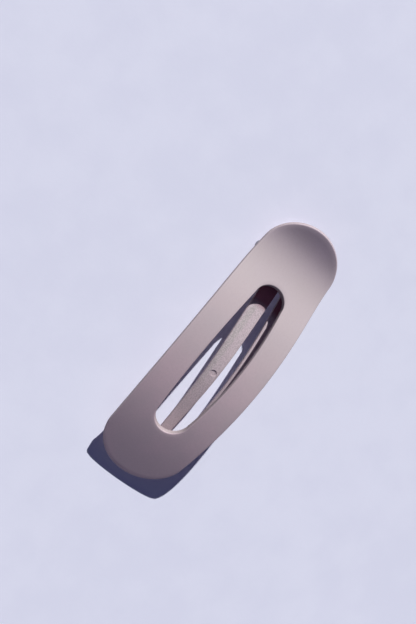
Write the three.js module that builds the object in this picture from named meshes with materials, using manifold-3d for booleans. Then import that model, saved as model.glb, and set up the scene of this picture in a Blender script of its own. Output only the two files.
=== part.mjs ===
// Large hair clip of the alligator kind: an arched, slotted upper jaw and an open-framed lower jaw
// on a sprung hinge. Millimetres, +Z up. Stations are distances from the clip's tip along +X, and
// the whole clip is then centred, so the origin lies on the table under the middle of the clip.

import * as THREE from 'three';
import { mergeVertices } from 'three/addons/utils/BufferGeometryUtils.js';
import Module from 'manifold-3d';

const wasm = await Module();
wasm.setup();

// Upper jaw: outline seen from above, and the slot in it
const clipLength = 106.2;
const plateThick = 2.1;
const plateEdge = 0.35;
const tipCap = 14.4;
const tabCap = 13.0;
const tipHalf = 15.65;
const waistHalf = 16.5;
const tabHalf = 14.5;
const slotStart = 21.6;
const slotToPin = 8.1;
const slotTipCap = 4.6;
const slotHingeCap = 5.3;
const slotTipHalf = 5.8;
const slotMidHalf = 6.8;
const slotHingeHalf = 5.6;

// Upper jaw: heights of the middle of its sheet above the table, at shares of the clip's length
const tipRise = 1.1;
const shoulderRise = 9.05;
const archRise = 14.7;
const neckRise = 11.8;
const dipRise = 8.15;
const tabFootRise = 8.25;
const tabRise = 11.65;
const riseShares = [0, 0.19, 0.495, 0.7, 0.845, 0.92, 1];

// Lower jaw: outline of the frame, and its opening
const jawStart = 3.6;
const jawToPin = 3.6;
const jawTipCap = 12;
const jawBackCap = 3;
const jawTipHalf = 11.2;
const jawMidHalf = 12.8;
const jawBackHalf = 10.6;
const jawThick = 1.8;
const jawEdge = 0.5;
const openStart = 12.6;
const openToPin = 7.8;
const openTipCap = 9;
const openRootCap = 1.6;
const openTipHalf = 8.7;
const openMidHalf = 7.8;
const openRootHalf = 4.0;

// Lower jaw: heights of its top above the table, and the flat foot under its tip
const jawTipTop = 1.15;
const jawNoseTop = 2.0;
const jawFrontTop = 3.6;
const jawMidTop = 7.3;
const jawHighTop = 7.5;
const jawRootTop = 6.25;
const jawBackTop = 5.7;
const jawTopShares = [0, 0.053, 0.243, 0.5, 0.752, 0.92, 1];
const footLength = 5.6;
const footRamp = 11;

// Tongue of the lower jaw: a free prong that has set a little to one side
const tongueTip = 15.5;
const rootToPin = 5.7;
const tongueThick = 1.7;
const tongueRootHalf = 2.7;
const tongueBellyHalf = 2.8;
const tongueTipHalf = 1.6;
const bellyShare = 0.6;
const tongueRootSide = 1.25;
const tongueSetSide = -2.65;
const tongueBendShare = 0.335;
const tongueCap = 1.5;
const tongueEdge = 0.6;
const tongueStep = 0.12;
const markRadius = 1.2;
const markDepth = 0.25;
const markStation = 46.3;
const markSide = -0.6;

// Hinge: pin, knuckles of the lower jaw, lugs of the upper jaw
const tabReach = 16;
const pinHeight = 4.4;
const pinRadius = 1.0;
const pinClearance = 0.1;
const pinHeadRadius = 1.7;
const pinHeadThick = 1.2;
const knuckleRadius = 2.2;
const knuckleStart = 6.2;
const knuckleEnd = 10.8;
const knuckleArm = 7.2;
const armStep = 0.3;
const lugGap = 0.35;
const lugThick = 2.3;
const lugRadius = 2.2;
const lugSpread = 3.4;
const headGap = 0.2;

// Finger lever behind the hinge, and the window that the spring sits in
const leverLength = 14.8;
const leverThick = 1.9;
const leverCap = 7.5;
const footPastPin = 7.8;
const leverEdge = 0.5;
const windowAhead = 3.3;
const windowBehind = 5.2;
const windowHalf = 5.8;

// Torsion spring: six and a half turns between two legs that press the handles apart
const wireRadius = 0.45;
const coilRadius = 1.85;
const coilPitch = 1.4;
const coilTurns = 6.5;
const coilSteps = 8;
const wireSides = 5;
const upperLegKnee = 5.6;
const upperLegLength = 11.6;
const legGap = 0.3;
const lowerLegLength = 10.6;

// Grip teeth: pegs on both jaws that pass each other in one row along each side
const toothPitch = 5.0;
const toothFirst = 15.5;
const teethToPin = 14.2;
const toothInset = 1.75;
const toothRoot = 1.05;
const toothTip = 0.6;
const toothSink = 0.6;
const toothReachShare = 0.68;

const overrun = 4;
const around = 20;

// Stations that follow the hinge pin, which lies one tab's reach from the far end of the clip
const pinStation = clipLength - tabReach;
const slotEnd = pinStation - slotToPin;
const jawEnd = pinStation - jawToPin;
const openEnd = pinStation - openToPin;
const tongueRoot = pinStation - rootToPin;
const toothLast = pinStation - teethToPin;
const leverEnd = pinStation + leverLength;
const leverFoot = pinStation + footPastPin;
const windowStart = pinStation - windowAhead;
const windowEnd = pinStation + windowBehind;

// A smooth curve through stations xs at heights ys, with no bend at its two ends
function naturalSpline(xs, ys) {
  const last = xs.length - 1;
  const bend = new Array(last + 1).fill(0);
  const carry = new Array(last + 1).fill(0);
  for (let i = 1; i < last; i++) {
    const before = xs[i] - xs[i - 1];
    const after = xs[i + 1] - xs[i];
    const share = before / (before + after);
    const pivot = share * bend[i - 1] + 2;
    const jump = (ys[i + 1] - ys[i]) / after - (ys[i] - ys[i - 1]) / before;
    bend[i] = (share - 1) / pivot;
    carry[i] = ((6 * jump) / (before + after) - share * carry[i - 1]) / pivot;
  }
  const second = new Array(last + 1).fill(0);
  for (let i = last - 1; i > 0; i--) second[i] = bend[i] * second[i + 1] + carry[i];
  const span = (x) => {
    let i = 0;
    while (i < last - 1 && x > xs[i + 1]) i++;
    const h = xs[i + 1] - xs[i];
    return { i, h, a: (xs[i + 1] - x) / h, b: (x - xs[i]) / h };
  };
  const at = (x) => {
    const { i, h, a, b } = span(x);
    const curve = ((a ** 3 - a) * second[i] + (b ** 3 - b) * second[i + 1]) * (h * h) / 6;
    return a * ys[i] + b * ys[i + 1] + curve;
  };
  const slope = (x) => {
    const { i, h, a, b } = span(x);
    const curve = ((3 * b * b - 1) * second[i + 1] - (3 * a * a - 1) * second[i]) * h / 6;
    return (ys[i + 1] - ys[i]) / h + curve;
  };
  return { at, slope };
}

// Half-width that runs as a parabola through its start, middle and end
function barrelSide(xa, xb, halfA, halfMiddle, halfB) {
  const middle = (xa + xb) / 2;
  const span = (xb - xa) / 2;
  const lean = (halfB - halfA) / 2;
  const bulge = halfMiddle - (halfA + halfB) / 2;
  return (x) => {
    const t = (x - middle) / span;
    return halfMiddle + lean * t - bulge * t * t;
  };
}

// Closed oval outline with elliptic ends and barrel sides, as plan points
function oval({ xa, xb, capA, capB, halfA, halfMiddle, halfB, capSteps, sideSteps }) {
  const side = barrelSide(xa + capA, xb - capB, halfA, halfMiddle, halfB);
  const upper = [];
  for (let i = 0; i < capSteps; i++) {
    const turn = (i / capSteps) * Math.PI / 2;
    upper.push([xa + capA - capA * Math.cos(turn), halfA * Math.sin(turn)]);
  }
  for (let i = 0; i < sideSteps; i++) {
    const x = xa + capA + (xb - capB - xa - capA) * (i / sideSteps);
    upper.push([x, side(x)]);
  }
  for (let i = 0; i <= capSteps; i++) {
    const turn = (1 - i / capSteps) * Math.PI / 2;
    upper.push([xb - capB + capB * Math.cos(turn), halfB * Math.sin(turn)]);
  }
  const lower = upper.slice(1, -1).reverse().map(([x, y]) => [x, -y]);
  return [...upper, ...lower];
}

// Triangles between closed rings of points, each ring joined to the next, with or without ends
function ringMesh(rings, closed) {
  const count = rings[0].length;
  const index = [];
  const total = closed ? rings.length : rings.length - 1;
  for (let i = 0; i < total; i++) {
    const next = (i + 1) % rings.length;
    for (let j = 0; j < count; j++) {
      const k = (j + 1) % count;
      index.push(i * count + j, next * count + j, next * count + k);
      index.push(i * count + j, next * count + k, i * count + k);
    }
  }
  if (!closed) {
    const end = (rings.length - 1) * count;
    for (let j = 1; j < count - 1; j++) {
      index.push(0, j, j + 1);
      index.push(end, end + j + 1, end + j);
    }
  }
  const geometry = new THREE.BufferGeometry();
  geometry.setAttribute('position', new THREE.Float32BufferAttribute(rings.flat(2), 3));
  geometry.setIndex(index);
  return outward(geometry);
}

// Turns every face of a closed mesh outward
function outward(geometry) {
  const place = geometry.getAttribute('position');
  const index = geometry.getIndex().array;
  const [a, b, c] = [new THREE.Vector3(), new THREE.Vector3(), new THREE.Vector3()];
  let volume = 0;
  for (let i = 0; i < index.length; i += 3) {
    a.fromBufferAttribute(place, index[i]);
    b.fromBufferAttribute(place, index[i + 1]);
    c.fromBufferAttribute(place, index[i + 2]);
    volume += a.dot(b.cross(c));
  }
  if (volume < 0) {
    const turned = Array.from(index);
    for (let i = 0; i < turned.length; i += 3) {
      [turned[i + 1], turned[i + 2]] = [turned[i + 2], turned[i + 1]];
    }
    geometry.setIndex(turned);
  }
  return geometry;
}

// Sheet between an outer and an inner outline, its corners rounded; place(x, y, k) puts a plan point
// at the share k of the half-thickness, half(x)
function ringSheet({ outer, inner, place, half, edge, topSteps, bottomSteps, cornerSteps }) {
  const rings = outer.map(([ox, oy], i) => {
    const [ix, iy] = inner[i];
    const width = Math.hypot(ox - ix, oy - iy);
    const points = [];
    const put = (distance, drop, side) => {
      const x = ix + (ox - ix) * (distance / width);
      const y = iy + (oy - iy) * (distance / width);
      points.push(place(x, y, side * (1 - drop / half(x))));
    };
    const flat = width - 2 * edge;
    const corner = (far, side, rising) => {
      for (let j = 0; j <= cornerSteps; j++) {
        const turn = ((rising ? j : cornerSteps - j) / cornerSteps) * Math.PI / 2;
        const out = edge * Math.cos(turn);
        put(far ? width - edge + out : edge - out, edge - edge * Math.sin(turn), side);
      }
    };
    corner(false, 1, true);
    for (let j = 1; j < topSteps; j++) put(edge + flat * (j / topSteps), 0, 1);
    corner(true, 1, false);
    corner(true, -1, true);
    for (let j = 1; j < bottomSteps; j++) put(width - edge - flat * (j / bottomSteps), 0, -1);
    corner(false, -1, false);
    return points;
  });
  return ringMesh(rings, true);
}

// Bar along X whose section is a rectangle with its corners cut; stations give side, half-width,
// top and bottom
function bar(stations, edge) {
  const rings = stations.map(({ x, side, half, top, bottom }) => {
    const cut = Math.min(edge, half / 2);
    const points = [[half, top - cut], [half - cut, top], [cut - half, top], [-half, top - cut]];
    const under = [[-half, bottom + cut], [cut - half, bottom], [half - cut, bottom], [half, bottom + cut]];
    return [...points, ...under].map(([y, z]) => [x, side + y, z]);
  });
  return ringMesh(rings, false);
}

// Outline in X and Z, drawn through from y0 to y1
function prism(shape, y0, y1) {
  const geometry = new THREE.ExtrudeGeometry(shape, { depth: y1 - y0, bevelEnabled: false, curveSegments: around });
  geometry.rotateX(Math.PI / 2);
  geometry.translate(0, y1, 0);
  return geometry;
}

// Round bar along Y through the hinge axis
function hingeBar(radius, y0, y1) {
  const geometry = new THREE.CylinderGeometry(radius, radius, y1 - y0, around);
  geometry.translate(pinStation, (y0 + y1) / 2, pinHeight);
  return geometry;
}

// Mesh to solid and back, for joins and cuts
function solid(geometry) {
  const bare = geometry.clone();
  bare.deleteAttribute('normal');
  bare.deleteAttribute('uv');
  const merged = mergeVertices(bare);
  return new wasm.Manifold(new wasm.Mesh({
    numProp: 3,
    vertProperties: new Float32Array(merged.getAttribute('position').array),
    triVerts: new Uint32Array(merged.getIndex().array),
  }));
}

function joined(first, ...others) {
  return others.reduce((whole, geometry) => whole.add(solid(geometry)), first);
}

function cut(first, ...others) {
  return others.reduce((whole, geometry) => whole.subtract(solid(geometry)), first);
}

function meshOf(body, name, material) {
  const raw = body.getMesh();
  const geometry = new THREE.BufferGeometry();
  geometry.setAttribute('position', new THREE.Float32BufferAttribute(raw.vertProperties, 3));
  geometry.setIndex(Array.from(raw.triVerts));
  geometry.computeVertexNormals();
  return named(geometry, name, material);
}

function named(geometry, name, material) {
  const mesh = new THREE.Mesh(geometry, material);
  mesh.name = name;
  return mesh;
}

// Run of the upper jaw's sheet, and of the lower jaw's top and bottom
const sheet = naturalSpline(
  riseShares.map((share) => share * clipLength),
  [tipRise, shoulderRise, archRise, neckRise, dipRise, tabFootRise, tabRise],
);
const jawTop = naturalSpline(
  jawTopShares.map((share) => jawStart + share * (jawEnd - jawStart)),
  [jawTipTop, jawNoseTop, jawFrontTop, jawMidTop, jawHighTop, jawRootTop, jawBackTop],
);

function jawBottom(x) {
  const ramp = THREE.MathUtils.smoothstep(x, jawStart + footLength, jawStart + footLength + footRamp);
  return (jawTop.at(x) - jawThick) * ramp;
}

function sheetUnderside(x) {
  return sheet.at(x) - (plateThick / 2) * Math.hypot(1, sheet.slope(x));
}

const jawSide = barrelSide(jawStart + jawTipCap, jawEnd - jawBackCap, jawTipHalf, jawMidHalf, jawBackHalf);

// Peg with a rounded end, standing on the level z0 and reaching to z1, up or down
function tooth(x, y, z0, z1) {
  const reach = Math.abs(z1 - z0);
  const profile = [
    new THREE.Vector2(0, -toothSink),
    new THREE.Vector2(toothRoot, -toothSink),
    new THREE.Vector2(toothTip, reach - toothTip),
    new THREE.Vector2(toothTip * Math.SQRT1_2, reach - toothTip * (1 - Math.SQRT1_2)),
    new THREE.Vector2(0, reach),
  ];
  const geometry = new THREE.LatheGeometry(profile, 8);
  geometry.rotateX(z1 > z0 ? Math.PI / 2 : -Math.PI / 2);
  geometry.translate(x, y, z0);
  return geometry;
}

// The two rows of pegs of one jaw; the upper jaw's pegs stand half a pitch further on
function toothRows(first, upper) {
  const pegs = [];
  for (let x = first; x <= toothLast; x += toothPitch) {
    const y = jawSide(x) - toothInset;
    const [low, high] = [jawTop.at(x), sheetUnderside(x)];
    const reach = (high - low) * toothReachShare;
    for (const side of [-1, 1]) {
      pegs.push(upper ? tooth(x, side * y, high, high - reach) : tooth(x, side * y, low, low + reach));
    }
  }
  return pegs;
}

// Lug of the upper jaw: an eye round the pin, widening upward into the sheet
function lugShape() {
  const shape = new THREE.Shape();
  const left = pinStation - lugSpread;
  const right = pinStation + lugSpread;
  shape.moveTo(left, sheet.at(left));
  shape.quadraticCurveTo(pinStation - lugRadius, sheetUnderside(pinStation), pinStation - lugRadius, pinHeight);
  shape.absarc(pinStation, pinHeight, lugRadius, Math.PI, 2 * Math.PI, false);
  shape.quadraticCurveTo(pinStation + lugRadius, sheetUnderside(pinStation), right, sheet.at(right));
  shape.closePath();
  return shape;
}

function upperJaw() {
  const half = plateThick / 2;
  const steps = { capSteps: 12, sideSteps: 18 };
  const outer = oval({
    xa: 0, xb: clipLength, capA: tipCap, capB: tabCap,
    halfA: tipHalf, halfMiddle: waistHalf, halfB: tabHalf, ...steps,
  });
  const inner = oval({
    xa: slotStart, xb: slotEnd, capA: slotTipCap, capB: slotHingeCap,
    halfA: slotTipHalf, halfMiddle: slotMidHalf, halfB: slotHingeHalf, ...steps,
  });
  const place = (x, y, k) => {
    const slope = sheet.slope(x);
    const length = Math.hypot(1, slope);
    return [x - (k * half * slope) / length, y, sheet.at(x) + (k * half) / length];
  };
  const plate = ringSheet({
    outer, inner, place, half: () => half, edge: plateEdge, topSteps: 8, bottomSteps: 8, cornerSteps: 2,
  });
  const lugStart = knuckleEnd + lugGap;
  const lugs = [
    prism(lugShape(), lugStart, lugStart + lugThick),
    prism(lugShape(), -lugStart - lugThick, -lugStart),
  ];
  const bore = hingeBar(pinRadius + pinClearance, -waistHalf, waistHalf);
  const whole = joined(solid(plate), ...lugs, ...toothRows(toothFirst + toothPitch / 2, true));
  return meshOf(cut(whole, bore), 'upper_jaw', plateFinish());
}

// Tongue stations from its rounded free end to its root
function tongueStations() {
  const side = new THREE.CubicBezierCurve(
    new THREE.Vector2(tongueTip, tongueSetSide),
    new THREE.Vector2(THREE.MathUtils.lerp(tongueTip, tongueRoot, 1 / 3), tongueSetSide),
    new THREE.Vector2(
      THREE.MathUtils.lerp(tongueTip, tongueRoot, 1 / 2),
      THREE.MathUtils.lerp(tongueSetSide, tongueRootSide, tongueBendShare),
    ),
    new THREE.Vector2(tongueRoot, tongueRootSide),
  );
  const steps = 22;
  const capSteps = 4;
  const stations = [];
  const station = (x, shrink) => {
    const t = (x - tongueTip) / (tongueRoot - tongueTip);
    const swell = THREE.MathUtils.smoothstep(t, 0, bellyShare);
    const half = t < bellyShare
      ? THREE.MathUtils.lerp(tongueTipHalf, tongueBellyHalf, swell)
      : THREE.MathUtils.lerp(tongueBellyHalf, tongueRootHalf, (t - bellyShare) / (1 - bellyShare));
    const top = jawTop.at(x) - tongueStep;
    stations.push({ x, side: sideAt(side, x), half: half * shrink, top, bottom: top - tongueThick });
  };
  for (let i = 1; i < capSteps; i++) {
    const turn = (i / capSteps) * Math.PI / 2;
    station(tongueTip + tongueCap * (1 - Math.cos(turn)), Math.sin(turn));
  }
  for (let i = 0; i <= steps; i++) {
    station(tongueTip + tongueCap + (tongueRoot - tongueTip - tongueCap) * (i / steps), 1);
  }
  return stations;
}

// Side of the tongue's middle line at station x, found by halving
function sideAt(curve, x) {
  let [low, high] = [0, 1];
  for (let i = 0; i < 30; i++) {
    const middle = (low + high) / 2;
    if (curve.getPoint(middle).x < x) low = middle;
    else high = middle;
  }
  return curve.getPoint(low).y;
}

// Knuckle of the lower jaw: a barrel round the pin on an arm from the frame
function knuckleShape() {
  const shape = new THREE.Shape();
  const root = pinStation - knuckleArm;
  const top = jawTop.at(root) - armStep;
  shape.moveTo(root, top - jawThick);
  shape.lineTo(root, top);
  shape.lineTo(pinStation - knuckleRadius * Math.SQRT1_2, pinHeight + knuckleRadius * Math.SQRT1_2);
  shape.absarc(pinStation, pinHeight, knuckleRadius, 0.75 * Math.PI, -0.75 * Math.PI, true);
  shape.closePath();
  return shape;
}

// Finger lever from the side: down from the barrels, then flat along the table
function leverShape() {
  const shape = new THREE.Shape();
  const diagonal = knuckleRadius * Math.SQRT1_2;
  const knee = windowEnd;
  shape.moveTo(pinStation, pinHeight - knuckleRadius);
  shape.quadraticCurveTo(pinStation + knuckleRadius, 0, leverFoot, 0);
  shape.lineTo(leverEnd - leverEdge, 0);
  shape.quadraticCurveTo(leverEnd, 0, leverEnd, leverEdge);
  shape.lineTo(leverEnd, leverThick - leverEdge);
  shape.quadraticCurveTo(leverEnd, leverThick, leverEnd - leverEdge, leverThick);
  shape.lineTo(knee, leverThick);
  shape.quadraticCurveTo(pinStation + knuckleRadius, leverThick, pinStation + diagonal, pinHeight + diagonal);
  shape.lineTo(pinStation, pinHeight);
  shape.closePath();
  return shape;
}

// Plan of the lever and the barrels, with a rounded end
function leverPlan() {
  const shape = new THREE.Shape();
  shape.moveTo(pinStation - knuckleRadius, -knuckleEnd);
  shape.lineTo(leverEnd - leverCap, -knuckleEnd);
  shape.absellipse(leverEnd - leverCap, 0, leverCap, knuckleEnd, -Math.PI / 2, Math.PI / 2, false);
  shape.lineTo(pinStation - knuckleRadius, knuckleEnd);
  shape.closePath();
  const depth = pinHeight + knuckleRadius + overrun;
  return new THREE.ExtrudeGeometry(shape, { depth, bevelEnabled: false, curveSegments: around });
}

// Window for the spring, cut right through
function springWindow() {
  const length = windowEnd - windowStart;
  const deep = pinHeight + knuckleRadius + overrun;
  const geometry = new THREE.BoxGeometry(length, 2 * windowHalf, 2 * deep);
  geometry.translate(windowStart + length / 2, 0, 0);
  return geometry;
}

function lowerJaw() {
  const steps = { capSteps: 8, sideSteps: 14 };
  const outer = oval({
    xa: jawStart, xb: jawEnd, capA: jawTipCap, capB: jawBackCap,
    halfA: jawTipHalf, halfMiddle: jawMidHalf, halfB: jawBackHalf, ...steps,
  });
  const inner = oval({
    xa: openStart, xb: openEnd, capA: openTipCap, capB: openRootCap,
    halfA: openTipHalf, halfMiddle: openMidHalf, halfB: openRootHalf, ...steps,
  });
  const half = (x) => (jawTop.at(x) - jawBottom(x)) / 2;
  const place = (x, y, k) => [x, y, (jawTop.at(x) + jawBottom(x)) / 2 + k * half(x)];
  const frame = ringSheet({
    outer, inner, place, half, edge: jawEdge, topSteps: 3, bottomSteps: 3, cornerSteps: 2,
  });
  const tongue = bar(tongueStations(), tongueEdge);
  const knuckles = [
    prism(knuckleShape(), knuckleStart, knuckleEnd),
    prism(knuckleShape(), -knuckleEnd, -knuckleStart),
  ];
  const lever = solid(prism(leverShape(), -knuckleEnd, knuckleEnd)).intersect(solid(leverPlan()));
  const mark = new THREE.CylinderGeometry(markRadius, markRadius, 2 * markDepth, around);
  mark.rotateX(Math.PI / 2);
  const markPlace = tongueStations().reduce((best, station) => (
    Math.abs(station.x - markStation) < Math.abs(best.x - markStation) ? station : best
  ));
  mark.translate(markStation, markPlace.side + markSide, markPlace.top);
  const whole = joined(solid(frame), tongue, ...knuckles, ...toothRows(toothFirst, false)).add(lever);
  const bore = hingeBar(pinRadius + pinClearance, -waistHalf, waistHalf);
  return meshOf(cut(whole, bore, springWindow(), mark), 'lower_jaw', jawFinish());
}

// Steel pin with a head at each end, outside the lugs
function hingePin() {
  const lugFace = knuckleEnd + lugGap + lugThick;
  const shank = lugFace + headGap;
  const head = pinHeadThick / 2;
  const profile = [
    new THREE.Vector2(0, -shank - pinHeadThick),
    new THREE.Vector2(pinHeadRadius / 2, -shank - pinHeadThick),
    new THREE.Vector2(pinHeadRadius, -shank - head),
    new THREE.Vector2(pinHeadRadius, -shank),
    new THREE.Vector2(pinRadius, -shank),
    new THREE.Vector2(pinRadius, shank),
    new THREE.Vector2(pinHeadRadius, shank),
    new THREE.Vector2(pinHeadRadius, shank + head),
    new THREE.Vector2(pinHeadRadius / 2, shank + pinHeadThick),
    new THREE.Vector2(0, shank + pinHeadThick),
  ];
  const geometry = mergeVertices(bareOf(new THREE.LatheGeometry(profile, around)));
  geometry.translate(pinStation, 0, pinHeight);
  return named(outward(geometry), 'hinge_pin', steelFinish());
}

function bareOf(geometry) {
  geometry.deleteAttribute('normal');
  geometry.deleteAttribute('uv');
  return geometry;
}

// Middle line of the spring's wire: upper leg, coil from +Y to -Y, lower leg
function springLine() {
  const points = [];
  const start = (coilTurns * coilPitch) / 2;
  const top = pinHeight + coilRadius;
  const tipX = pinStation + upperLegLength;
  const kneeX = pinStation + upperLegKnee;
  const reach = wireRadius + legGap;
  points.push([tipX, start, sheetUnderside(tipX) - reach]);
  points.push([(tipX + kneeX) / 2, start, sheetUnderside((tipX + kneeX) / 2) - reach]);
  points.push([kneeX, start, Math.min(top, sheetUnderside(kneeX) - reach)]);
  const steps = Math.round(coilTurns * coilSteps);
  for (let i = 0; i <= steps; i++) {
    const turn = (i / coilSteps) * 2 * Math.PI;
    const y = start - (i / coilSteps) * coilPitch;
    points.push([pinStation - coilRadius * Math.sin(turn), y, pinHeight + coilRadius * Math.cos(turn)]);
  }
  points.push([windowEnd, -start, pinHeight - coilRadius]);
  points.push([pinStation + lowerLegLength, -start, leverThick + reach]);
  return points.map((point) => new THREE.Vector3(...point));
}

// Least gap between turns of the wire that are more than half a turn apart
function leastGap(line) {
  let least = Infinity;
  const dense = [];
  for (let i = 0; i < line.length - 1; i++) {
    for (let j = 0; j < 6; j++) dense.push(line[i].clone().lerp(line[i + 1], j / 6));
  }
  const skip = 6 * coilSteps / 2;
  for (let i = 0; i < dense.length; i++) {
    for (let j = i + skip; j < dense.length; j++) {
      least = Math.min(least, dense[i].distanceTo(dense[j]) - 2 * wireRadius);
    }
  }
  return least;
}

function torsionSpring() {
  const line = springLine();
  const rings = line.map((point, i) => {
    const before = line[Math.max(i - 1, 0)];
    const after = line[Math.min(i + 1, line.length - 1)];
    const along = after.clone().sub(before).normalize();
    const across = new THREE.Vector3(0, 1, 0).addScaledVector(along, -along.y).normalize();
    const up = along.clone().cross(across);
    return Array.from({ length: wireSides }, (_, k) => {
      const turn = (k / wireSides) * 2 * Math.PI;
      const spot = point.clone();
      spot.addScaledVector(across, wireRadius * Math.cos(turn));
      spot.addScaledVector(up, wireRadius * Math.sin(turn));
      return spot.toArray();
    });
  });
  console.log(`torsion_spring: least gap to itself ${leastGap(line).toFixed(2)} mm`);
  return named(ringMesh(rings, false), 'torsion_spring', steelFinish());
}

// Finishes: matte coated plastic, grained plastic, plain steel
function plateFinish() {
  return new THREE.MeshStandardMaterial({ color: 0xb9adb1, roughness: 0.75, metalness: 0 });
}

function jawFinish() {
  return new THREE.MeshStandardMaterial({ color: 0xb0a5a6, roughness: 0.85, metalness: 0 });
}

function steelFinish() {
  return new THREE.MeshStandardMaterial({ color: 0xa9abae, roughness: 0.35, metalness: 1 });
}

const clip = new THREE.Group();
clip.add(upperJaw(), lowerJaw(), hingePin(), torsionSpring());
clip.position.x = -clipLength / 2;

export default clip;
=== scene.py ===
# Alligator hair clip, lying on pale paper in low light from one side. The frame is the packed
# model's: +X from the gripping tip to the finger tab, +Z up, origin under the clip's middle.
# Shapes are worked out in millimetres, as stations from the tip along X, and laid down in metres.

import bpy
import bmesh
import math
from mathutils import Matrix, Vector


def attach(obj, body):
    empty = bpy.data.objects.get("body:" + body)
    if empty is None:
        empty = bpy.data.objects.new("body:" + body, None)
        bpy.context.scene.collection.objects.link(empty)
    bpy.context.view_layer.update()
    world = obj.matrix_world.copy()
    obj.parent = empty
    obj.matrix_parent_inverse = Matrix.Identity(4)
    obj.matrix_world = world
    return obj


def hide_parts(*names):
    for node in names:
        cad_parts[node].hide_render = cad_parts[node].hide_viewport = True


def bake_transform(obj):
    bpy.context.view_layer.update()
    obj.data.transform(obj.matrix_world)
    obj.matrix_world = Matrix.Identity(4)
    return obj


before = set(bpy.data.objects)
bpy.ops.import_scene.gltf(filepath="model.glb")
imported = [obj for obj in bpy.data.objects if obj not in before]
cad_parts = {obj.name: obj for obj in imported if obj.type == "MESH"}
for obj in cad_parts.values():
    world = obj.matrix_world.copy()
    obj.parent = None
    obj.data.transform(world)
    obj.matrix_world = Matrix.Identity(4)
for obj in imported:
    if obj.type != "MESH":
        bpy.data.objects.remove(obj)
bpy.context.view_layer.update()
scene = bpy.context.scene
scene.view_settings.view_transform = "Standard"

# Camera: held above the clip and a little to one side of it, with the long side of its picture
# upright. Its focal length is first given in pixels of that picture.
sensor_height = 36
picture_pixels = 624
focal_pixels = 599.8
camera_data = bpy.data.cameras.new("camera")
camera_data.sensor_fit = "VERTICAL"
camera_data.sensor_height = sensor_height
camera_data.lens = sensor_height * focal_pixels / picture_pixels
camera_data.clip_start = 0.01
camera = bpy.data.objects.new("camera", camera_data)
camera.matrix_world = Matrix((
    (0.6352, 0.7721, 0.0192, 0.012415),
    (-0.7589, 0.6193, 0.2011, 0.053177),
    (0.1434, -0.1423, 0.9794, 0.204368),
    (0, 0, 0, 1),
))
scene.collection.objects.link(camera)
scene.camera = camera

# Light: one hard lamp, low beyond the tab's end of the clip and a little to the side. All the
# rest of the light comes from the surroundings, which follow the paper.
lamp_direction = Vector((2.05, 0.285, 1.0))
lamp_data = bpy.data.lights.new("key", "SUN")
lamp_data.energy = 5.4
lamp_data.angle = math.radians(0.7)
lamp_data.color = (1.0, 0.985, 0.98)
lamp = bpy.data.objects.new("key", lamp_data)
lamp.rotation_mode = "QUATERNION"
lamp.rotation_quaternion = lamp_direction.to_track_quat("Z", "Y")
scene.collection.objects.link(lamp)


# Paper: the clip lies on a sheet of heavy, cool white paper, very slightly cockled and much
# larger than the picture. Its tooth is finer than a hair.
paper_half = 0.9


class Wire:
    """An output of a shader node. Sums and products of wires add their own Math nodes."""

    def __init__(self, board, socket):
        self.board = board
        self.socket = socket

    def math(self, operation, *others):
        values = dict(enumerate((self, *others)))
        return self.board.add("ShaderNodeMath", {"operation": operation}, values)

    def __add__(self, other):
        return self.math("ADD", other)

    def __radd__(self, other):
        return self.math("ADD", other)

    def __sub__(self, other):
        return self.math("SUBTRACT", other)

    def __rsub__(self, other):
        return self.board.add("ShaderNodeMath", {"operation": "SUBTRACT"}, {0: other, 1: self})

    def __mul__(self, other):
        return self.math("MULTIPLY", other)

    def __rmul__(self, other):
        return self.math("MULTIPLY", other)


class Board:
    """The nodes of a material or world. add() makes one, sets it up, feeds it, gives an output."""

    def __init__(self, owner):
        owner.use_nodes = True
        self.owner = owner
        self.tree = owner.node_tree
        self.tree.nodes.clear()

    def add(self, kind, settings=None, sockets=None, out=0):
        node = self.tree.nodes.new(kind)
        for name, value in (settings or {}).items():
            setattr(node, name, value)
        for name, value in (sockets or {}).items():
            if isinstance(value, Wire):
                self.tree.links.new(value.socket, node.inputs[name])
            else:
                node.inputs[name].default_value = value
        return Wire(self, node.outputs[out])

    def place(self, kind):
        """Where a point of the surface is, or which way it faces, as kind says."""
        return self.add("ShaderNodeTexCoord", out=kind)

    def axis(self, place, letter):
        return self.add("ShaderNodeSeparateXYZ", None, {0: place}, out=letter)

    def noise(self, place, scale, detail, roughness=0.5):
        return self.add(
            "ShaderNodeTexNoise", {"noise_dimensions": "3D"},
            {"Vector": place, "Scale": scale, "Detail": detail, "Roughness": roughness},
        )

    def span(self, value, low, high, to_low=0.0, to_high=1.0):
        """value, moved from low..high to to_low..to_high with smooth ends."""
        return self.add(
            "ShaderNodeMapRange", {"interpolation_type": "SMOOTHSTEP", "clamp": True},
            {"Value": value, "From Min": low, "From Max": high, "To Min": to_low, "To Max": to_high},
        )

    def mix(self, share, first, second):
        node_settings = {"data_type": "RGBA", "clamp_factor": True}
        return self.add("ShaderNodeMix", node_settings, {0: share, 6: first, 7: second}, out=2)

    def bump(self, strength, distance, height):
        sockets = {"Strength": strength, "Distance": distance, "Height": height}
        return self.add("ShaderNodeBump", None, sockets)

    def finish(self, **sockets):
        named = {name.replace("_", " "): value for name, value in sockets.items()}
        self.add_output(self.add("ShaderNodeBsdfPrincipled", None, named), "ShaderNodeOutputMaterial")
        return self.owner

    def add_output(self, shader, kind):
        output = self.tree.nodes.new(kind)
        self.tree.links.new(shader.socket, output.inputs["Surface"])


def srgb(red, green, blue):
    """A colour as it is seen on a screen, 0 to 255, as the linear colour that a shader takes."""
    def linear(value):
        value /= 255
        return value / 12.92 if value <= 0.04045 else ((value + 0.055) / 1.055) ** 2.4
    return (linear(red), linear(green), linear(blue), 1.0)


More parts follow.
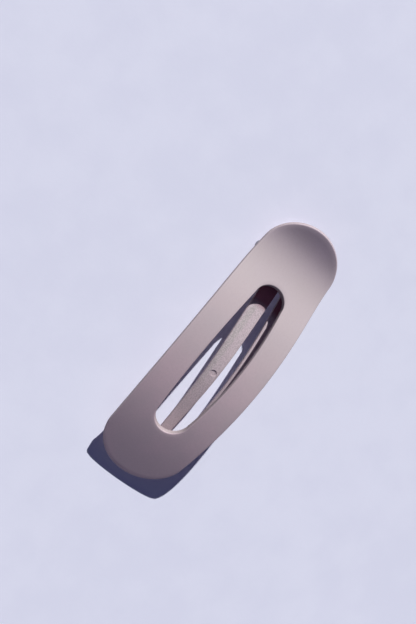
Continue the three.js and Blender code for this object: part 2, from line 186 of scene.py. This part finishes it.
paper_dull = srgb(232, 235, 251)
paper_bright = srgb(236, 239, 254)
paper = Board(bpy.data.materials.new("white_paper"))
paper_place = paper.place("Object")
cockle = paper.noise(paper_place, 9.0, 3.0)
blotch = paper.noise(paper_place, 70.0, 4.0)
tooth = paper.noise(paper_place, 900.0, 2.0)
brighter = paper.span(cockle * 0.5 + blotch * 0.5, 0.38, 0.62)
paper_finish = paper.finish(
    Base_Color=paper.mix(brighter, paper_dull, paper_bright), Roughness=0.9,
    Normal=paper.bump(0.1, 0.0002, tooth * 0.6 + cockle * 9.0),
)
paper_mesh = bpy.data.meshes.new("paper")
paper_mesh.from_pydata(
    [(x * paper_half, y * paper_half, 0.0) for x, y in ((-1, -1), (1, -1), (1, 1), (-1, 1))],
    [], [(0, 1, 2, 3)],
)
paper_mesh.materials.append(paper_finish)
paper_sheet = bpy.data.objects.new("paper", paper_mesh)
scene.collection.objects.link(paper_sheet)


# Surroundings: dim and bluish overhead, and bright and low down towards the tip's end of the
# clip. What looks straight at them, or mirrors them, sees white.
overhead_light = (0.019, 0.024, 0.070, 1)
low_light = (1.10, 0.94, 1.18, 1)
seen_white = srgb(236, 236, 246)
room = Board(bpy.data.worlds.new("surroundings"))
scene.world = room.owner
room_place = room.place("Generated")
towards_tip = room.axis(room_place, "X") * -1.0
upwards = room.axis(room_place, "Z")
glow = room.span(towards_tip, 0.2, 1.0) * room.span(upwards, 0.5, 0.0)
room_light = room.mix(glow, overhead_light, low_light)
ray_kinds = ("Is Camera Ray", "Is Glossy Ray", "Is Transmission Ray")
looks = [room.add("ShaderNodeLightPath", out=kind) for kind in ray_kinds]
looked_at = looks[0].math("MAXIMUM", looks[1]).math("MAXIMUM", looks[2])
lit = room.add("ShaderNodeBackground", None, {"Color": room_light, "Strength": 1.0})
seen = room.add("ShaderNodeBackground", None, {"Color": seen_white, "Strength": 1.0})
both = room.add("ShaderNodeMixShader", None, {0: looked_at, 1: lit, 2: seen})
room.add_output(both, "ShaderNodeOutputWorld")


# Upper jaw: one long moulding of soft-touch coated plastic, about 2 mm thick. It arches over the
# lower jaw, turns up in a finger tab, and has a long slot; lugs and teeth stand on its underside.
length = 106.2
tab_reach = 16.0
pin_x = length - tab_reach
pin_z = 4.4
bore_radius = 1.1
sheet_thick = 2.1
sheet_edge = 0.5
sheet_shares = (0, 0.19, 0.495, 0.7, 0.845, 0.92, 1)
sheet_rises = (1.1, 9.05, 14.7, 11.8, 8.15, 8.34, 11.15)
plate_caps = (14.4, 13.0)
plate_halves = (15.65, 16.5, 14.5)
slot_ends = (21.6, pin_x - 8.1)
slot_caps = (6.2, 5.3)
slot_halves = (6.15, 7.35, 5.6)
plate_steps = (36, 80)
rim_steps = 5
flat_steps = 16
lug_inner = 11.15
lug_outer = 13.45
lug_radius = 2.2
lug_spread = 3.4
lug_edge = 0.3
lug_bow_steps = 8
lug_arc_steps = 24
jaw_ends = (3.6, pin_x - 3.6)
jaw_caps = (12, 3)
jaw_halves = (11.2, 12.8, 10.6)
jaw_shares = (0, 0.053, 0.243, 0.5, 0.752, 0.92, 1)
jaw_tops = (1.15, 2.0, 3.6, 7.3, 7.5, 6.25, 5.7)
tooth_first = 15.5
tooth_last = pin_x - 14.2
tooth_pitch = 5.0
tooth_inset = 1.75
tooth_reach = 0.68
tooth_radii = (1.05, 0.6)
tooth_sink = 0.6
tooth_sides = 20
tooth_dome = (10, 87.42)
tooth_dome_steps = 6
bore_sides = 40
# Painted light: the next colour is a lighter, pinker tone for the tip's half of the sheet, which turns from
# the lamp.
coat_tip_painted_light = srgb(201, 179, 186)
coat_hinge = srgb(183, 172, 173)
# Painted light: the next colour lightens and blues the finger tab's shaded curl.
coat_tab_painted_light = srgb(194, 178, 188)
coat_cloudy = srgb(184, 172, 176)
coat_speckled = srgb(176, 160, 165)
# Painted shade: the next colour darkens the rounded rims and side walls.
coat_rim_painted_shade = srgb(155, 143, 145)
# Painted shade: the next colour darkens and reddens faces that look down.
coat_underside_painted_shade = srgb(146, 116, 127)


def smooth_curve(places, values):
    """Height and slope of the natural cubic spline through the given places and values."""
    last = len(places) - 1
    share = [0.0] * (last + 1)
    carry = [0.0] * (last + 1)
    for i in range(1, last):
        before = places[i] - places[i - 1]
        after = places[i + 1] - places[i]
        part = before / (before + after)
        pivot = part * share[i - 1] + 2
        jump = (values[i + 1] - values[i]) / after - (values[i] - values[i - 1]) / before
        share[i] = (part - 1) / pivot
        carry[i] = (6 * jump / (before + after) - part * carry[i - 1]) / pivot
    second = [0.0] * (last + 1)
    for i in range(last - 1, 0, -1):
        second[i] = share[i] * second[i + 1] + carry[i]

    def curve(x):
        i = max(k for k in range(last) if k == 0 or x > places[k])
        step = places[i + 1] - places[i]
        a = (places[i + 1] - x) / step
        b = 1 - a
        bend = ((a ** 3 - a) * second[i] + (b ** 3 - b) * second[i + 1]) * step * step / 6
        lean = ((3 * b * b - 1) * second[i + 1] - (3 * a * a - 1) * second[i]) * step / 6
        return a * values[i] + b * values[i + 1] + bend, (values[i + 1] - values[i]) / step + lean
    return curve


def along(ends, share):
    """Value at a share of the way from the first end to the second."""
    return ends[0] + (ends[1] - ends[0]) * share


sheet = smooth_curve([share * length for share in sheet_shares], sheet_rises)
jaw_top = smooth_curve([along(jaw_ends, share) for share in jaw_shares], jaw_tops)


def underside(x):
    """Height of the upper jaw's lower face."""
    height, slope = sheet(x)
    return height - sheet_thick / 2 * math.hypot(1, slope)


def barrel_side(start, end, first, middle, last):
    """Half-width that runs as a parabola through its first, middle and last values."""
    def side(x):
        t = (2 * x - start - end) / (end - start)
        return middle + (last - first) / 2 * t - (middle - (first + last) / 2) * t * t
    return side


def oval(ends, caps, halves, steps):
    """Closed plan outline with elliptic ends and barrel sides."""
    start, end = ends
    cap_steps, side_steps = steps
    side = barrel_side(start + caps[0], end - caps[1], *halves)
    edge = []
    for i in range(cap_steps):
        turn = i / cap_steps * math.pi / 2
        edge.append((start + caps[0] * (1 - math.cos(turn)), halves[0] * math.sin(turn)))
    for i in range(side_steps):
        x = start + caps[0] + (end - caps[1] - start - caps[0]) * i / side_steps
        edge.append((x, side(x)))
    for i in range(cap_steps + 1):
        turn = (1 - i / cap_steps) * math.pi / 2
        edge.append((end - caps[1] * (1 - math.cos(turn)), halves[2] * math.sin(turn)))
    return edge + [(x, -y) for x, y in reversed(edge[1:-1])]


def rim_profile(width, edge):
    """Half the outline of a sheet's section: distance from its inner rim, and drop from its top."""
    points = []
    for i in range(rim_steps + 1):
        turn = i / rim_steps * math.pi / 2
        points.append((edge * (1 - math.cos(turn)), edge * (1 - math.sin(turn))))
    points += [(edge + (width - 2 * edge) * i / flat_steps, 0.0) for i in range(1, flat_steps)]
    points += [(width - distance, drop) for distance, drop in reversed(points[:rim_steps + 1])]
    return points


def mesh_piece(name, points, faces):
    """Object from points in millimetres, with stations measured from the tip."""
    mesh = bpy.data.meshes.new(name)
    mesh.from_pydata([((x - length / 2) / 1000, y / 1000, z / 1000) for x, y, z in points], [], faces)
    cleaned = bmesh.new()
    cleaned.from_mesh(mesh)
    bmesh.ops.remove_doubles(cleaned, verts=cleaned.verts, dist=1e-6)
    bmesh.ops.recalc_face_normals(cleaned, faces=cleaned.faces)
    cleaned.to_mesh(mesh)
    cleaned.free()
    piece = bpy.data.objects.new(name, mesh)
    scene.collection.objects.link(piece)
    return piece


def smooth(piece, angle):
    """Smooth shading, with edges sharper than the angle kept crisp."""
    for face in piece.data.polygons:
        face.use_smooth = True
    piece.data.set_sharp_from_angle(angle=math.radians(angle))


def ring_faces(rings, count, closed=True, first=0):
    """Quads between rings of count points: the last joined to the first, or both ends capped."""
    faces = []
    for i in range(rings if closed else rings - 1):
        n = (i + 1) % rings
        for j in range(count):
            k = (j + 1) % count
            corners = (i * count + j, n * count + j, n * count + k, i * count + k)
            faces.append([first + corner for corner in corners])
    if not closed:
        faces.append(list(range(first, first + count)))
        faces.append(list(range(first + (rings - 1) * count, first + rings * count)))
    return faces


def lathe(profile, sides, place):
    """Points of rings turned from (radius, distance) pairs; place(across, up, distance) sets them."""
    return [
        place(radius * math.cos(turn), radius * math.sin(turn), distance)
        for radius, distance in profile
        for turn in (2 * math.pi * k / sides for k in range(sides))
    ]


def slab(name, outline, y0, y1, rounding):
    """Outline in X and Z, drawn through from y0 to y1, with its rims rounded."""
    count = len(outline)
    points = [(x, y, z) for y in (y0, y1) for x, z in outline]
    piece = mesh_piece(name, points, ring_faces(2, count, closed=False))
    if rounding:
        rounded = bmesh.new()
        rounded.from_mesh(piece.data)
        rims = [edge for edge in rounded.edges if any(len(face.verts) == count for face in edge.link_faces)]
        bmesh.ops.bevel(
            rounded, geom=rims, offset=rounding / 1000, segments=3, profile=0.5, affect="EDGES",
            clamp_overlap=True,
        )
        rounded.to_mesh(piece.data)
        rounded.free()
    return piece


def combine(piece, operation, others):
    """piece with the others joined to it or cut from it; the others are used up."""
    for other in others:
        step = piece.modifiers.new("combine", "BOOLEAN")
        step.operation = operation
        step.solver = "EXACT"
        step.object = other
    shown = piece.evaluated_get(bpy.context.evaluated_depsgraph_get())
    mesh = bpy.data.meshes.new_from_object(shown)
    piece.modifiers.clear()
    piece.data = mesh
    for other in others:
        bpy.data.objects.remove(other)


def arc(centre, radius, start, end, steps):
    """Points of an arc in X and Z, its angles in degrees."""
    turns = [math.radians(start + (end - start) * i / steps) for i in range(steps + 1)]
    return [(centre[0] + radius * math.cos(turn), centre[1] + radius * math.sin(turn)) for turn in turns]


def bow(start, middle, end, steps):
    """Points of a quadratic curve in X and Z, without its last one."""
    points = []
    for i in range(steps):
        t = i / steps
        weights = ((1 - t) ** 2, 2 * t * (1 - t), t * t)
        points.append(tuple(sum(w * p[k] for w, p in zip(weights, (start, middle, end))) for k in (0, 1)))
    return points


def cross_bore():
    """Round bar through the hinge, for boring it out."""
    profile = [(bore_radius, -plate_halves[1]), (bore_radius, plate_halves[1])]
    points = lathe(profile, bore_sides, lambda across, up, y: (pin_x + across, y, pin_z + up))
    return mesh_piece("bore", points, ring_faces(2, bore_sides, closed=False))


def teeth(name, first, upper):
    """Two rows of rounded pegs, standing on the lower jaw or hanging from the upper one."""
    jaw_side = barrel_side(jaw_ends[0] + jaw_caps[0], jaw_ends[1] - jaw_caps[1], *jaw_halves)
    points = []
    faces = []
    for i in range(int((tooth_last - first) / tooth_pitch) + 1):
        x = first + i * tooth_pitch
        low, high = jaw_top(x)[0], underside(x)
        reach = (high - low) * tooth_reach
        root, tip = tooth_radii
        profile = [(root, -tooth_sink), (root, 0.0)]
        for k in range(tooth_dome_steps + 1):
            turn = math.radians(along(tooth_dome, k / tooth_dome_steps))
            profile.append((tip * math.cos(turn), reach - tip + tip * math.sin(turn)))
        level, sense = (high, -1) if upper else (low, 1)
        for side in (-1, 1):
            y = side * (jaw_side(x) - tooth_inset)
            faces += ring_faces(len(profile), tooth_sides, closed=False, first=len(points))
            points += lathe(
                profile, tooth_sides, lambda across, up, far: (x + across, y + up, level + sense * far),
            )
    return mesh_piece(name, points, faces)


upper_outer = oval((0, length), plate_caps, plate_halves, plate_steps)
upper_inner = oval(slot_ends, slot_caps, slot_halves, plate_steps)
upper_points = []
for (ox, oy), (ix, iy) in zip(upper_outer, upper_inner):
    across = math.hypot(ox - ix, oy - iy)
    half = rim_profile(across, sheet_edge)
    section = [(d, sheet_thick / 2 - drop) for d, drop in half]
    section += [(d, drop - sheet_thick / 2) for d, drop in reversed(half)]
    for distance, off in section:
        x = ix + (ox - ix) * distance / across
        y = iy + (oy - iy) * distance / across
        z, slope = sheet(x)
        lie = math.hypot(1, slope)
        upper_points.append((x - off * slope / lie, y, z + off / lie))
upper_jaw = mesh_piece(
    "upper_jaw_shell", upper_points,
    ring_faces(len(upper_outer), len(upper_points) // len(upper_outer)),
)
lug_left = (pin_x - lug_spread, sheet(pin_x - lug_spread)[0])
lug_right = (pin_x + lug_spread, sheet(pin_x + lug_spread)[0])
lug_outline = bow(
    lug_left, (pin_x - lug_radius, underside(pin_x)), (pin_x - lug_radius, pin_z), lug_bow_steps,
)
lug_outline += arc((pin_x, pin_z), lug_radius, 180, 360, lug_arc_steps)[:-1]
lug_outline += bow(
    (pin_x + lug_radius, pin_z), (pin_x + lug_radius, underside(pin_x)), lug_right, lug_bow_steps,
)
lug_outline += [lug_right]
lugs = [
    slab("lug", lug_outline, lug_inner, lug_outer, lug_edge),
    slab("lug", lug_outline, -lug_outer, -lug_inner, lug_edge),
]
combine(upper_jaw, "UNION", [*lugs, teeth("upper_teeth", tooth_first + tooth_pitch / 2, True)])
combine(upper_jaw, "DIFFERENCE", [cross_bore()])
smooth(upper_jaw, 50)

coat = Board(bpy.data.materials.new("soft_touch_coat"))
coat_place = coat.place("Object")
coat_x = coat.axis(coat_place, "X")
coat_up = coat.axis(coat.place("Normal"), "Z")
cloud = coat.noise(coat_place, 55.0, 3.0)
speck = coat.noise(coat_place, 1500.0, 3.0, 0.6)
grain = coat.noise(coat_place, 5200.0, 2.0)
# Painted light: the tip's half of the sheet, which turns away from the lamp, is coloured lighter and pinker
# than the hinge's half.
painted_tip_light_fade = coat.span(coat_x + (cloud - 0.5) * 0.03, -0.03, 0.03)
coat_colour = coat.mix(painted_tip_light_fade, coat_tip_painted_light, coat_hinge)
# Painted light: the finger tab is coloured lighter and bluer, to lift the shade on its upturned curl.
coat_colour = coat.mix(coat.span(coat_x, 0.034, 0.048), coat_colour, coat_tab_painted_light)
coat_colour = coat.mix(coat.span(cloud, 0.35, 0.65) * 0.5, coat_colour, coat_cloudy)
coat_colour = coat.mix(coat.span(speck, 0.3, 0.75) * 0.25, coat_colour, coat_speckled)
# Painted shade: the rounded rims and side walls of the sheet are coloured darker.
rim_painted_shade = coat.span(coat_up, 0.93, 0.55) * coat.span(speck, 0.25, 0.5, 0.7, 1.0)
coat_colour = coat.mix(rim_painted_shade, coat_colour, coat_rim_painted_shade)
# Painted shade: faces that look down are coloured darker and redder.
coat_colour = coat.mix(coat.span(coat_up, -0.3, -0.6), coat_colour, coat_underside_painted_shade)
coat_finish = coat.finish(
    Base_Color=coat_colour, Roughness=coat.span(speck, 0.2, 0.8, 0.55, 0.66),
    Normal=coat.bump(0.3, 0.00003, grain + speck), Specular_IOR_Level=0.35,
)
upper_jaw.data.materials.clear()
upper_jaw.data.materials.append(coat_finish)
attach(upper_jaw, "upper")
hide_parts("upper_jaw")


# Lower jaw: a grained moulding under the upper one. Its open frame carries two rows of teeth and a
# long tongue that has set to one side; behind the frame come the hinge barrels and a finger lever.
frame_thick = 1.8
frame_edge = 0.5
frame_steps = (30, 80)
foot_length = 5.6
foot_ramp = 11.0
open_ends = (12.6, pin_x - 7.8)
open_caps = (9, 1.6)
open_halves = (9.4, 7.8, 4.0)
open_far_halves = (9.4, 7.8, 5.3)
tongue_ends = (15.5, pin_x - 5.7)
tongue_thick = 1.7
tongue_crown = 0.12
tongue_cap = 1.5
tongue_halves = (1.9, 2.8, 3.2)
tongue_sides = (-2.95, 1.3)
tongue_handles = (1 / 3, 1 / 2)
tongue_bend = 0.335
tongue_steps = 240
tongue_joint = 4
tongue_rim = 1.05
tongue_margin = 0.1
belly_share = 0.6
mark_place = (46.7, -2.15)
mark_radius = 1.15
mark_depth = 0.09
mark_taper = 0.975
mark_sides = 40
knuckle_radius = 2.2
knuckle_inner = 6.2
knuckle_outer = 10.8
knuckle_edge = 0.25
knuckle_turn = (110, -135)
knuckle_steps = 32
arm_reach = 7.2
arm_thick = 1.6
arm_step = 0.3
lever_end = pin_x + 14.8
lever_foot = pin_x + 7.8
lever_thick = 1.9
lever_cap = 7.5
lever_edge = 0.4
lever_bow_steps = 12
lever_cap_steps = 40
window_ends = (pin_x - 3.3, pin_x + 5.2)
window_half = 5.8
cut_heights = (-1.0, 9.0)
moulding_pale = srgb(212, 196, 201)
moulding_greyer = srgb(206, 192, 197)
moulding_rubbed = srgb(175, 174, 169)
moulding_tip = srgb(188, 170, 177)
moulding_grained = srgb(164, 150, 154)
# Painted shade: the next colour is a dark maroon for the tops under the upper jaw's neck.
moulding_painted_shade = srgb(126, 72, 92)


def inside(point, outline):
    """Whether a plan point lies inside a closed outline."""
    x, y = point
    crossed = False
    for (ax, ay), (bx, by) in zip(outline, outline[1:] + outline[:1]):
        if (ay > y) != (by > y) and x < ax + (bx - ax) * (y - ay) / (by - ay):
            crossed = not crossed
    return crossed


def eased(x, low, high):
    t = min(max((x - low) / (high - low), 0.0), 1.0)
    return t * t * (3 - 2 * t)


def cubic(t, first, second):
    """Value at t of the cubic curve from 0 to 1 that has its two handles at first and second."""
    return 3 * (1 - t) ** 2 * t * first + 3 * (1 - t) * t * t * second + t ** 3


def tongue_half(x):
    """Half-width of the tongue at station x, its rounded free end included."""
    tip, belly, root = tongue_halves
    t = (x - tongue_ends[0]) / (tongue_ends[1] - tongue_ends[0])
    if t < belly_share:
        wide = tip + (belly - tip) * t / belly_share
    else:
        wide = belly + (root - belly) * (t - belly_share) / (1 - belly_share)
    into = min(max((x - tongue_ends[0]) / tongue_cap, 0.0), 1.0)
    return wide * math.sqrt(1 - (1 - into) ** 2)


tongue_line = []
for i in range(tongue_steps + 1):
    t = (i / tongue_steps) ** 1.5
    x = along(tongue_ends, cubic(t, *tongue_handles))
    tongue_line.append((x, along(tongue_sides, cubic(t, 0, tongue_bend))))
tongue_outline = [(x, y + tongue_half(x)) for x, y in reversed(tongue_line)]
tongue_outline += [(x, y - tongue_half(x)) for x, y in tongue_line[1:]]


def tongue_side(x):
    """Side of the tongue's middle line at station x."""
    for (ax, ay), (bx, by) in zip(tongue_line, tongue_line[1:]):
        if x <= bx:
            return ay + (by - ay) * max(x - ax, 0.0) / (bx - ax)
    return tongue_line[-1][1]


opening = oval(open_ends, open_caps, open_halves, frame_steps)
far_opening = oval(open_ends, open_caps, open_far_halves, frame_steps)
opening = [far if far[1] > 0 else near for near, far in zip(opening, far_opening)]
root_point = max(range(len(opening)), key=lambda i: opening[i][0])
opening_from_root = opening[root_point:] + opening[:root_point]
hole = [point for point in opening_from_root if not inside(point, tongue_outline)]
hole += [point for point in tongue_outline if inside(point, opening)]


def moulded_sheet(name, outlines, thick, edge):
    """Flat sheet with rounded rims between closed plan outlines, cut across every millimetre."""
    plan = bpy.data.curves.new(name, "CURVE")
    plan.dimensions = "2D"
    plan.fill_mode = "BOTH"
    plan.extrude = thick / 2 - edge
    plan.bevel_depth = edge
    plan.bevel_resolution = 3
    plan.offset = -edge
    for outline in outlines:
        line = plan.splines.new("POLY")
        line.points.add(len(outline) - 1)
        for point, (x, y) in zip(line.points, outline):
            point.co = (x, y, 0, 1)
        line.use_cyclic_u = True
    holder = bpy.data.objects.new(name, plan)
    scene.collection.objects.link(holder)
    mesh = bpy.data.meshes.new_from_object(holder.evaluated_get(bpy.context.evaluated_depsgraph_get()))
    bpy.data.objects.remove(holder)
    sliced = bmesh.new()
    sliced.from_mesh(mesh)
    bmesh.ops.remove_doubles(sliced, verts=sliced.verts, dist=1e-4)
    lowest = min(x for x, y in outlines[0])
    highest = max(x for x, y in outlines[0])
    for i in range(1, int(highest - lowest)):
        everything = [*sliced.verts, *sliced.edges, *sliced.faces]
        bmesh.ops.bisect_plane(sliced, geom=everything, plane_co=(lowest + i, 0, 0), plane_no=(1, 0, 0))
    return sliced


sheet_mesh = moulded_sheet(
    "lower_jaw_frame", [oval(jaw_ends, jaw_caps, jaw_halves, frame_steps), hole], frame_thick, frame_edge,
)
frame_points = []
for vertex in sheet_mesh.verts:
    x, y, z = vertex.co
    top = jaw_top(x)[0]
    ramp = eased(x, jaw_ends[0] + foot_length, jaw_ends[0] + foot_length + foot_ramp)
    bottom = (top - frame_thick) * ramp
    across = (y - tongue_side(x)) / max(tongue_half(x), tongue_margin)
    if abs(across) < tongue_rim and tongue_ends[0] - tongue_margin < x < open_ends[1]:
        joint = eased(x, open_ends[1] - tongue_joint, open_ends[1])
        bottom = (top - tongue_thick) * (1 - joint) + bottom * joint
        top += tongue_crown * max(1 - across * across, 0.0) * (1 - joint)
    height = top - (frame_thick / 2 - z) if z > 0 else bottom + (frame_thick / 2 + z)
    frame_points.append((x, y, height))
sheet_mesh.verts.index_update()
frame_faces = [[vertex.index for vertex in face.verts] for face in sheet_mesh.faces]
sheet_mesh.free()
lower_jaw = mesh_piece("lower_jaw_moulding", frame_points, frame_faces)

arm_root = pin_x - arm_reach
arm_top = jaw_top(arm_root)[0] - arm_step
knuckle_outline = [(arm_root, arm_top - arm_thick), (arm_root, arm_top)]
knuckle_outline += arc((pin_x, pin_z), knuckle_radius, *knuckle_turn, knuckle_steps)
knuckles = [
    slab("knuckle", knuckle_outline, knuckle_inner, knuckle_outer, knuckle_edge),
    slab("knuckle", knuckle_outline, -knuckle_outer, -knuckle_inner, knuckle_edge),
]
diagonal = knuckle_radius * math.sqrt(0.5)
lever_outline = bow(
    (pin_x, pin_z - knuckle_radius), (pin_x + knuckle_radius, 0), (lever_foot, 0), lever_bow_steps,
)
lever_outline += [(lever_foot, 0), (lever_end, 0), (lever_end, lever_thick)]
lever_outline += bow(
    (window_ends[1], lever_thick), (pin_x + knuckle_radius, lever_thick),
    (pin_x + diagonal, pin_z + diagonal), lever_bow_steps,
)
lever_outline += [(pin_x + diagonal, pin_z + diagonal), (pin_x, pin_z)]
lever = slab("lever", lever_outline, -knuckle_outer, knuckle_outer, 0)
lever_plan = [(pin_x - knuckle_radius, -knuckle_outer)]
for i in range(lever_cap_steps + 1):
    turn = math.radians(-90 + 180 * i / lever_cap_steps)
    lever_plan.append((lever_end - lever_cap * (1 - math.cos(turn)), knuckle_outer * math.sin(turn)))
lever_plan.append((pin_x - knuckle_radius, knuckle_outer))


def upright_cutter(name, plan):
    """Solid with a plan outline, tall enough to cut right through the lower jaw."""
    points = [(x, y, z) for z in cut_heights for x, y in plan]
    return mesh_piece(name, points, ring_faces(2, len(plan), closed=False))


combine(lever, "INTERSECT", [upright_cutter("lever_plan", lever_plan)])
softened = bmesh.new()
softened.from_mesh(lever.data)
corners = [edge for edge in softened.edges if edge.calc_face_angle(0) > math.radians(40)]
bmesh.ops.bevel(
    softened, geom=corners, offset=lever_edge / 1000, segments=3, profile=0.5, affect="EDGES",
    clamp_overlap=True,
)
softened.to_mesh(lever.data)
softened.free()
combine(lower_jaw, "UNION", [*knuckles, lever, teeth("lower_teeth", tooth_first, False)])

window_start, window_end = window_ends
window = upright_cutter("window", [
    (window_start, -window_half), (window_end, -window_half),
    (window_end, window_half), (window_start, window_half),
])
mark_top, mark_slope = jaw_top(mark_place[0])


def on_mark(across, up, far):
    return (mark_place[0] + across, mark_place[1] + up, mark_top + mark_slope * across + far)


mark_profile = [(mark_radius * mark_taper, -mark_depth), (mark_radius, mark_depth), (mark_radius, 1.0)]
mark = mesh_piece(
    "mark", lathe(mark_profile, mark_sides, on_mark),
    ring_faces(len(mark_profile), mark_sides, closed=False),
)
combine(lower_jaw, "DIFFERENCE", [cross_bore(), window, mark])
smooth(lower_jaw, 45)

moulding = Board(bpy.data.materials.new("grained_moulding"))
moulding_place = moulding.place("Object")
moulding_x = moulding.axis(moulding_place, "X")
moulding_y = moulding.axis(moulding_place, "Y")
moulding_up = moulding.axis(moulding.place("Normal"), "Z")
moulding_cloud = moulding.noise(moulding_place, 60.0, 3.0)
moulding_grain = moulding.noise(moulding_place, 2600.0, 3.0, 0.65)
moulding_colour = moulding.mix(moulding.span(moulding_cloud, 0.35, 0.65), moulding_pale, moulding_greyer)
off_middle = (moulding_y - (moulding_x * 0.052 + 0.0004)).math("ABSOLUTE")
rubbed = moulding.span(off_middle + (moulding_cloud - 0.5) * 0.0012, 0.0017, 0.0004)
rubbed = rubbed * moulding.span(moulding_grain, 0.3, 0.6)
rubbed = rubbed * moulding.span(moulding_x, 0.0225, 0.0185) * moulding.span(moulding_x, -0.03, 0.01)
moulding_colour = moulding.mix(rubbed * 0.85, moulding_colour, moulding_rubbed)
moulding_colour = moulding.mix(moulding.span(moulding_x, -0.012, -0.036), moulding_colour, moulding_tip)
grained = moulding.span(moulding_grain, 0.38, 0.66) * 0.62
moulding_colour = moulding.mix(grained, moulding_colour, moulding_grained)
# Painted shade: the tops of the frame and tongue under the upper jaw's neck, where the upper jaw's shadow
# falls, are coloured a dark maroon.
painted_shade_under_neck = moulding.span(moulding_up, 0.3, 0.8)
painted_shade_under_neck = painted_shade_under_neck * moulding.span(moulding_x, 0.0195, 0.0235) * moulding.span(moulding_x, 0.033, 0.030)
moulding_colour = moulding.mix(painted_shade_under_neck, moulding_colour, moulding_painted_shade)
moulding_finish = moulding.finish(
    Base_Color=moulding_colour, Roughness=moulding.span(moulding_grain, 0.2, 0.8, 0.6, 0.75),
    Normal=moulding.bump(0.7, 0.0001, moulding_grain), Specular_IOR_Level=0.35,
)
lower_jaw.data.materials.clear()
lower_jaw.data.materials.append(moulding_finish)
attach(lower_jaw, "lower")
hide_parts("lower_jaw")


# Hinge pin: plain steel, pushed through the lugs and the barrels, with a low domed head at each
# end. It turns with the upper jaw.
pin_radius = 1.0
pin_shank = lug_outer + 0.2
pin_sides = 48
head_radius = 1.45
head_thick = 0.9
head_edge = 0.15
head_dome = 85.71
head_dome_steps = 8
steel_pale = srgb(142, 142, 146)
steel_dark = srgb(128, 129, 134)
head_profile = [
    (pin_radius, pin_shank), (head_radius - head_edge, pin_shank), (head_radius, pin_shank + head_edge),
]
for i in range(1, head_dome_steps + 1):
    turn = math.radians(head_dome * i / head_dome_steps)
    far = pin_shank + head_edge + (head_thick - head_edge) * math.sin(turn)
    head_profile.append((head_radius * math.cos(turn), far))
pin_profile = [(radius, -distance) for radius, distance in reversed(head_profile)] + head_profile
hinge_pin = mesh_piece(
    "hinge_pin_turned",
    lathe(pin_profile, pin_sides, lambda across, up, y: (pin_x + across, y, pin_z + up)),
    ring_faces(len(pin_profile), pin_sides, closed=False),
)
smooth(hinge_pin, 40)

steel = Board(bpy.data.materials.new("plain_steel"))
steel_cloud = steel.noise(steel.place("Object"), 700.0, 3.0)
steel_finish = steel.finish(
    Base_Color=steel.mix(steel.span(steel_cloud, 0.3, 0.7), steel_pale, steel_dark), Metallic=1.0,
    Roughness=steel.span(steel_cloud, 0.3, 0.7, 0.28, 0.42),
)
hinge_pin.data.materials.append(steel_finish)
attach(hinge_pin, "upper")
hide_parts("hinge_pin")


# Torsion spring: drawn steel wire, six and a half turns round the pin between the barrels. One leg
# lies under the finger tab and the other on the lever.
wire_radius = 0.45
wire_sides = 12
coil_radius = 1.85
coil_pitch = 1.4
coil_turns = 6.5
coil_steps = 32
leg_reach = wire_radius + 0.3
leg_steps = 12
knee_steps = 4
lower_leg_steps = 8
upper_knee = pin_x + 5.6
upper_tip = pin_x + 11.6
lower_tip = pin_x + 10.6
coil_start = coil_turns * coil_pitch / 2
coil_top = pin_z + coil_radius
coil_bottom = pin_z - coil_radius
wire_line = []
for i in range(leg_steps):
    x = along((upper_tip, upper_knee), i / leg_steps)
    wire_line.append(Vector((x, coil_start, min(coil_top, underside(x) - leg_reach))))
for i in range(knee_steps):
    wire_line.append(Vector((along((upper_knee, pin_x), i / knee_steps), coil_start, coil_top)))
for i in range(int(coil_turns * coil_steps) + 1):
    turn = 2 * math.pi * i / coil_steps
    wire_line.append(Vector((
        pin_x - coil_radius * math.sin(turn), coil_start - i / coil_steps * coil_pitch,
        pin_z + coil_radius * math.cos(turn),
    )))
for i in range(1, lower_leg_steps + 1):
    share = i / lower_leg_steps
    level = along((coil_bottom, lever_thick + leg_reach), share)
    wire_line.append(Vector((along((pin_x, lower_tip), share), -coil_start, level)))
spring_points = []
for i, point in enumerate(wire_line):
    ahead = (wire_line[min(i + 1, len(wire_line) - 1)] - wire_line[max(i - 1, 0)]).normalized()
    sideways = (Vector((0, 1, 0)) - ahead * ahead.y).normalized()
    upward = ahead.cross(sideways)
    for k in range(wire_sides):
        turn = 2 * math.pi * k / wire_sides
        spring_points.append(point + (sideways * math.cos(turn) + upward * math.sin(turn)) * wire_radius)
torsion_spring = mesh_piece(
    "torsion_spring_wire", spring_points, ring_faces(len(wire_line), wire_sides, closed=False),
)
smooth(torsion_spring, 50)
torsion_spring.data.materials.append(steel_finish)
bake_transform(torsion_spring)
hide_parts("torsion_spring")
